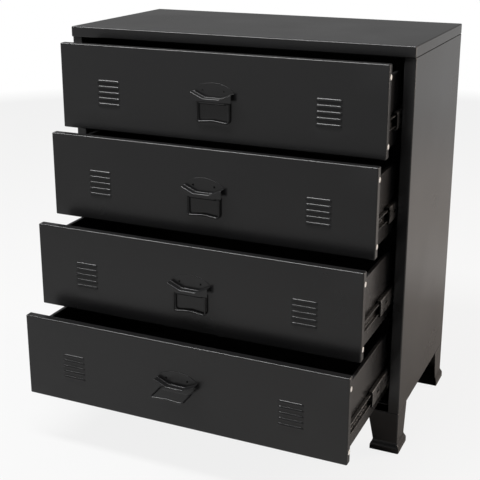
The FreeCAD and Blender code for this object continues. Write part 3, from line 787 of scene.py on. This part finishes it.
def pressed_pull(face_y, line_z):
    """The plate, ledge and skirt as one grid of across by down the section.

    The plate's top is an arc of a circle through its two ends and its crown.  The fold line falls
    from each end to a level middle, with its two corners eased by averaging over a short stretch.
    Down the section come the plate, a quarter turn out, the ledge, a quarter turn down, the skirt.
    """
    across = np.linspace(-handle_half, handle_half, 61)
    rise = handle_arch_rise - handle_end_rise
    arch_radius = (handle_half ** 2 + rise ** 2) / (2 * rise)
    top = handle_arch_rise - arch_radius + np.sqrt(arch_radius ** 2 - across ** 2)
    eased = np.linspace(-fold_corner, fold_corner, 9)[:, None]
    slope = (handle_half - np.abs(across + eased)) / (handle_half - ledge_half)
    fold = -ledge_drop * np.clip(slope, 0, 1).mean(axis=0)
    turn = np.linspace(0, math.pi / 2, 6)[:, None]
    flat = np.zeros((1, len(across)))
    low_turn_y = -sheet - inner_fold * (1 - np.cos(turn)) + flat
    low_turn_z = fold + inner_fold * (1 - np.sin(turn))
    high_turn_y = -ledge_reach + outer_fold * (1 - np.sin(turn)) + flat
    high_turn_z = fold - outer_fold * (1 - np.cos(turn))
    middle = (top + fold) / 2
    grid_y = np.vstack([flat - sheet, flat - sheet, low_turn_y, high_turn_y, flat - ledge_reach])
    grid_z = np.vstack([top, middle, low_turn_z, high_turn_z, flat - skirt_drop])
    grid = np.stack([np.broadcast_to(across, grid_y.shape), face_y + grid_y, line_z + grid_z], 2)
    return surface(grid, flip=True)


def rolled_tongue(face_y, line_z):
    """A strip down the face, turned forward under the wire and rolled up round it: straight lines,
    then a circle about the wire's centre from straight below to two thirds of a turn on."""
    level = line_z - knuckle_drop
    curl = np.linspace(-math.pi / 2, math.radians(-315), 15)
    roll_y = face_y - knuckle_forward + knuckle_radius * np.cos(curl)
    roll_z = level + knuckle_radius * np.sin(curl)
    turned = rounded_line([
        (face_y, line_z - ledge_drop), (face_y, level - knuckle_radius),
        (face_y - knuckle_forward, level - knuckle_radius),
    ], [tongue_bend])
    section = np.vstack([turned, np.stack([roll_y, roll_z], 1)])
    return surface(carried(section, 0, [-knuckle_half, knuckle_half]))


for n in drawers:
    low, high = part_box(f"handle_plate_{n}")
    line_z = high.z - handle_arch_rise
    make_piece(
        f"pressed_pull_{n}", [pressed_pull(high.y, line_z), rolled_tongue(high.y, line_z)], black_coat,
        f"drawer_{n}", [f"handle_plate_{n}"], wall=sheet, edge=pull_edge
    )

# ---- Bails ---------------------------------------------------------------------------------------
# A loop of 4 mm wire under each pull.  Its ends turn in through the rolled tongue, where it swings,
# and its grip is bent to a low peak.
wire_radius = 0.002
bail_half = 0.0355
bail_length = 0.042
bail_peak = 0.004
bail_pin_end = 0.020
bail_bends = [0.0035, 0.006, 0.025, 0.006, 0.0035]
upright_swing = 90


def bent_wire(pivot, lift):
    """The wire as a tube: circles square to a flat rounded path, closed to a point at both ends.

    A circle's point is (path point) + radius * (cos * (normal in the loop's plane) + sin * (square to
    that plane)).  The loop hangs straight down and is then lifted forwards about its pins.
    """
    path = rounded_line([
        (-bail_pin_end, 0), (-bail_half, 0), (-bail_half, -bail_length), (0, bail_peak - bail_length),
        (bail_half, -bail_length), (bail_half, 0), (bail_pin_end, 0),
    ], bail_bends, 10)
    along = np.gradient(path, axis=0)
    along /= np.linalg.norm(along, axis=1, keepdims=True)
    normal = np.stack([-along[:, 1], along[:, 0]], 1)
    swing = np.linspace(0, 2 * math.pi, 17)
    ring = wire_radius * np.ones(len(path))
    path = np.vstack([path[:1], path, path[-1:]])
    normal = np.vstack([normal[:1], normal, normal[-1:]])
    ring = np.concatenate([[0], ring, [0]])
    across = path[:, 0, None] + ring[:, None] * normal[:, 0, None] * np.cos(swing)
    down = path[:, 1, None] + ring[:, None] * normal[:, 1, None] * np.cos(swing)
    out = ring[:, None] * np.sin(swing)
    turned_y = out * math.cos(lift) + down * math.sin(lift)
    turned_z = down * math.cos(lift) - out * math.sin(lift)
    return surface(np.stack([across, turned_y, turned_z], 2) + np.array(pivot), flip=True)


for n in drawers:
    low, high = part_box(f"handle_plate_{n}")
    hinge = next(joint for joint in frame["joints"] if joint["name"] == f"bail_{n}_hinge")
    lift = math.radians(upright_swing - hinge["range_deg"][1])
    pivot = (0, high.y - knuckle_forward, high.z - handle_arch_rise - knuckle_drop)
    make_piece(
        f"bent_bail_{n}", [bent_wire(pivot, lift)], black_coat,
        f"bail_swing_{n}", [f"bail_{n}"]
    )

# ---- Studio --------------------------------------------------------------------------------------
# A pale paper floor, which the camera sees fade to white, in a dim grey room, which the camera sees
# as white, with two broad soft boxes: one overhead on the left, and a warm one behind on the right.
floor_half = 40
near_white = 0.85
mirrored_white = 0.45
room_grey = 0.23
floor_points, floor_quads = plate(2, 0, (-floor_half, -floor_half), (floor_half, floor_half))
floor_mesh = bpy.data.meshes.new("studio_floor")
floor_mesh.from_pydata(floor_points.tolist(), [], floor_quads.tolist())
studio_floor = bpy.data.objects.new("studio_floor", floor_mesh)
bpy.context.scene.collection.objects.link(studio_floor)
paper, tree, shader, place = new_finish("pale studio paper")
shader.inputs["Base Color"].default_value = (0.44, 0.44, 0.44, 1)
shader.inputs["Roughness"].default_value = 0.9
shader.inputs["Specular IOR Level"].default_value = 0.1
path = add_node(tree, "ShaderNodeLightPath", {})
mirrored_part = add_node(tree, "ShaderNodeMath", {
    0: path.outputs["Is Glossy Ray"], 1: mirrored_white,
}, operation="MULTIPLY")
seen = add_node(tree, "ShaderNodeMath", {
    0: path.outputs["Is Camera Ray"], 1: mirrored_part.outputs[0],
}, operation="MAXIMUM")
away = add_node(tree, "ShaderNodeVectorMath", {0: place}, operation="LENGTH")
far = add_node(tree, "ShaderNodeMapRange", {
    "Value": away.outputs["Value"], "From Min": 1.6, "From Max": 4.2, "To Min": 0.0, "To Max": 1.0,
})
near = add_node(tree, "ShaderNodeMath", {
    0: path.outputs["Is Camera Ray"], 1: near_white,
}, operation="MULTIPLY")
fade = add_node(tree, "ShaderNodeMath", {
    0: far.outputs["Result"], 1: seen.outputs[0],
}, operation="MULTIPLY")
white = add_node(tree, "ShaderNodeMath", {
    0: fade.outputs[0], 1: near.outputs[0],
}, operation="MAXIMUM")
glow = add_node(tree, "ShaderNodeEmission", {"Color": (1, 1, 1, 1), "Strength": 1.0})
mixed = add_node(tree, "ShaderNodeMixShader", {
    0: white.outputs[0], 1: shader.outputs[0], 2: glow.outputs[0],
})
tree.links.new(mixed.outputs[0], tree.nodes["Material Output"].inputs["Surface"])
floor_mesh.materials.append(paper)

world = bpy.data.worlds.new("white room")
bpy.context.scene.world = world
world.use_nodes = True
tree = world.node_tree
path = add_node(tree, "ShaderNodeLightPath", {})
room = add_node(tree, "ShaderNodeMix", {
    0: path.outputs["Is Camera Ray"], 6: (room_grey, room_grey, room_grey, 1), 7: (1, 1, 1, 1),
}, data_type="RGBA")
tree.links.new(room.outputs[2], tree.nodes["Background"].inputs["Color"])
tree.nodes["Background"].inputs["Strength"].default_value = 1.0


def soft_lamp(name, place, target, width, height, power, colour=(1, 1, 1)):
    """A rectangular soft box at a place, turned to a target."""
    light = bpy.data.lights.new(name, "AREA")
    light.shape = "RECTANGLE"
    light.size = width
    light.size_y = height
    light.energy = power
    light.color = colour
    lamp = bpy.data.objects.new(name, light)
    lamp.location = place
    lamp.rotation_euler = (Vector(target) - Vector(place)).to_track_quat("-Z", "Y").to_euler()
    bpy.context.scene.collection.objects.link(lamp)
    return lamp


soft_lamp("overhead_box", (-0.8, -0.9, 2.5), (-0.8, 0.0, 0.5), 2.2, 0.5, 100)
soft_lamp("right_rear_box", (2.6, 1.5, 1.3), (0.4, 0, 0.5), 1.6, 2.2, 90, (1.0, 0.85, 0.74))

camera_data = bpy.data.cameras.new("camera")
camera_data.sensor_width = 36
camera_data.lens = 74.2
camera_data.shift_y = -0.083
camera_data.clip_end = 200
camera = bpy.data.objects.new("camera", camera_data)
camera.location = (0.859, -2.067, 1.146)
camera.rotation_euler = (math.radians(90 - 16.84), 0, math.radians(24.24))
bpy.context.scene.collection.objects.link(camera)
bpy.context.scene.camera = camera
bpy.context.scene.view_settings.view_transform = "Standard"
